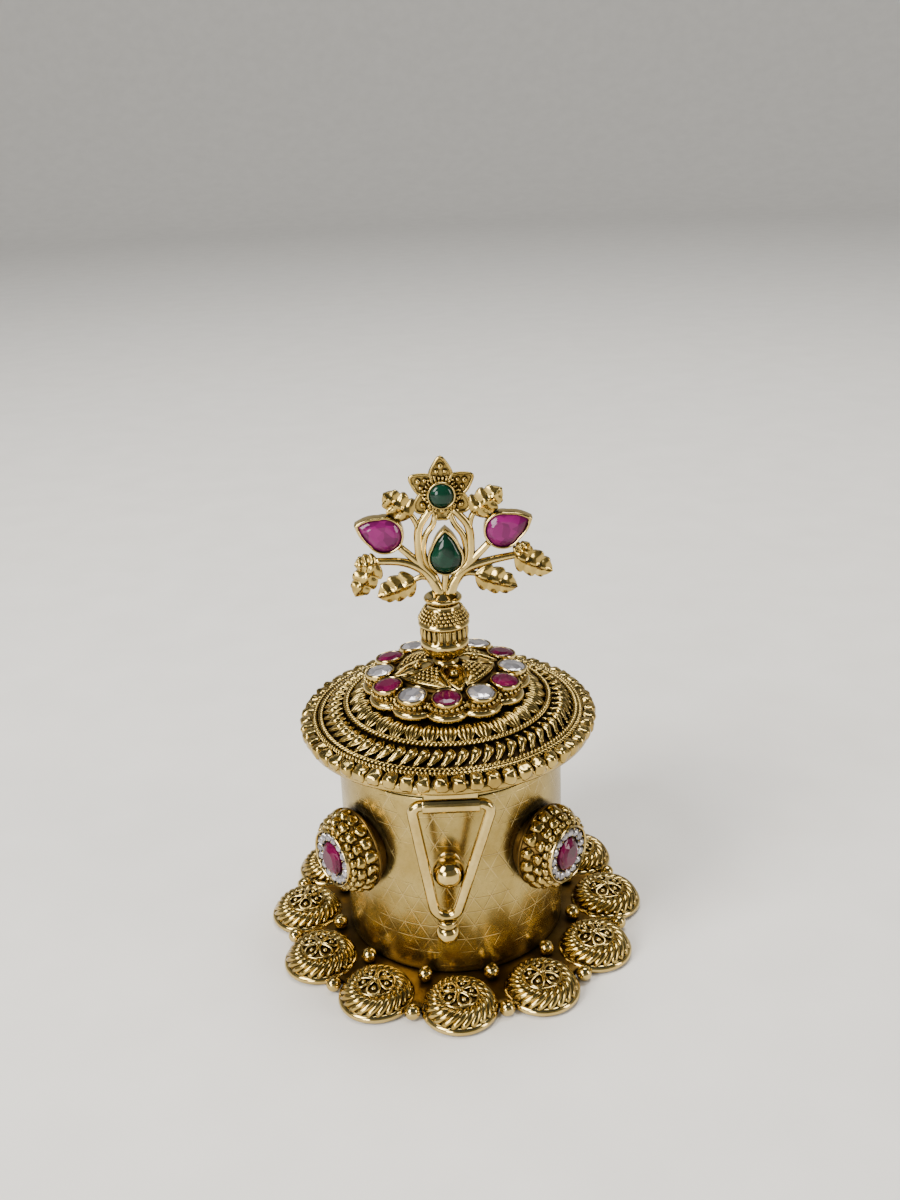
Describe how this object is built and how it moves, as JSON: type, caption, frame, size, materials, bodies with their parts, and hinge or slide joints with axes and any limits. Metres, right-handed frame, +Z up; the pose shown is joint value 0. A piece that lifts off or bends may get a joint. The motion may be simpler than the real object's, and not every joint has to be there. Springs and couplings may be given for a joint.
{
  "type": "hinged brass pot",
  "caption": "Small round brass pot with a hinged, pierced dome lid, kalash vase knob with a jewelled flower bouquet, wire latch and a foot ring of whirl rosettes.",
  "frame": {"origin": "centre of the underside of the foot plate, on the pot's axis", "axes": "+Z up along the pot's axis, -Y towards the front with the latch, +X to the right seen from the front"},
  "size_m": [0.0666, 0.0666, 0.0848],
  "materials": {
    "antique_gold": "satin polish with dark patina in the recesses",
    "aged_gold": "antiqued, dark recesses",
    "ruby_stone": "faceted, glossy, foil backed",
    "green_stone": "polished, glossy",
    "clear_stone": "faceted, foil backed"
  },
  "bodies": {
    "pot": {"foot_plate": "antique_gold", "rosette_domes": "antique_gold", "rosette_ribs": "aged_gold", "rosette_flowers": "antique_gold", "outer_foot_beads": "antique_gold", "inner_foot_beads": "antique_gold", "pot_cup": "antique_gold", "lid_register_ring": "aged_gold", "medallion_collar_left": "aged_gold", "medallion_beads_left": "antique_gold", "medallion_bezel_left": "antique_gold", "medallion_halo_left": "clear_stone", "medallion_gem_left": "ruby_stone", "medallion_collar_right": "aged_gold", "medallion_beads_right": "antique_gold", "medallion_bezel_right": "antique_gold", "medallion_halo_right": "clear_stone", "medallion_gem_right": "ruby_stone", "latch_post": "antique_gold", "hinge_body_leaf": "antique_gold", "hinge_pin": "antique_gold"},
    "lid": {"lid_pan": "antique_gold", "hinge_lid_leaf": "antique_gold", "rim_beads": "antique_gold", "outer_twist_wire": "antique_gold", "comma_ring": "aged_gold", "inner_twist_wire": "antique_gold", "leaf_ring": "aged_gold", "lobed_plate": "antique_gold", "plate_seats": "antique_gold", "plate_rubies": "ruby_stone", "plate_clear_stones": "clear_stone", "knob_flower": "antique_gold", "knob_sepals": "antique_gold", "kalash_vase": "antique_gold", "vase_flutes": "antique_gold", "fan_stems": "antique_gold", "fan_leaves": "antique_gold", "top_flower": "antique_gold", "fan_seats": "antique_gold", "green_cabochon": "green_stone", "green_pear": "green_stone", "ruby_pears": "ruby_stone", "latch_barrel": "antique_gold"},
    "latch": {"latch_loop": "antique_gold", "latch_tip": "antique_gold"}
  },
  "joints": [
    {"name": "lid_hinge", "type": "hinge", "parent": "pot", "child": "lid", "pos_m": [0, 0.0209, 0.0345], "axis": [-1, 0, 0], "range_deg": [0, 105]},
    {"name": "latch_swing", "type": "hinge", "parent": "lid", "child": "latch", "pos_m": [0, -0.0232, 0.0361], "axis": [-1, 0, 0], "range_deg": [0, 110]}
  ]
}
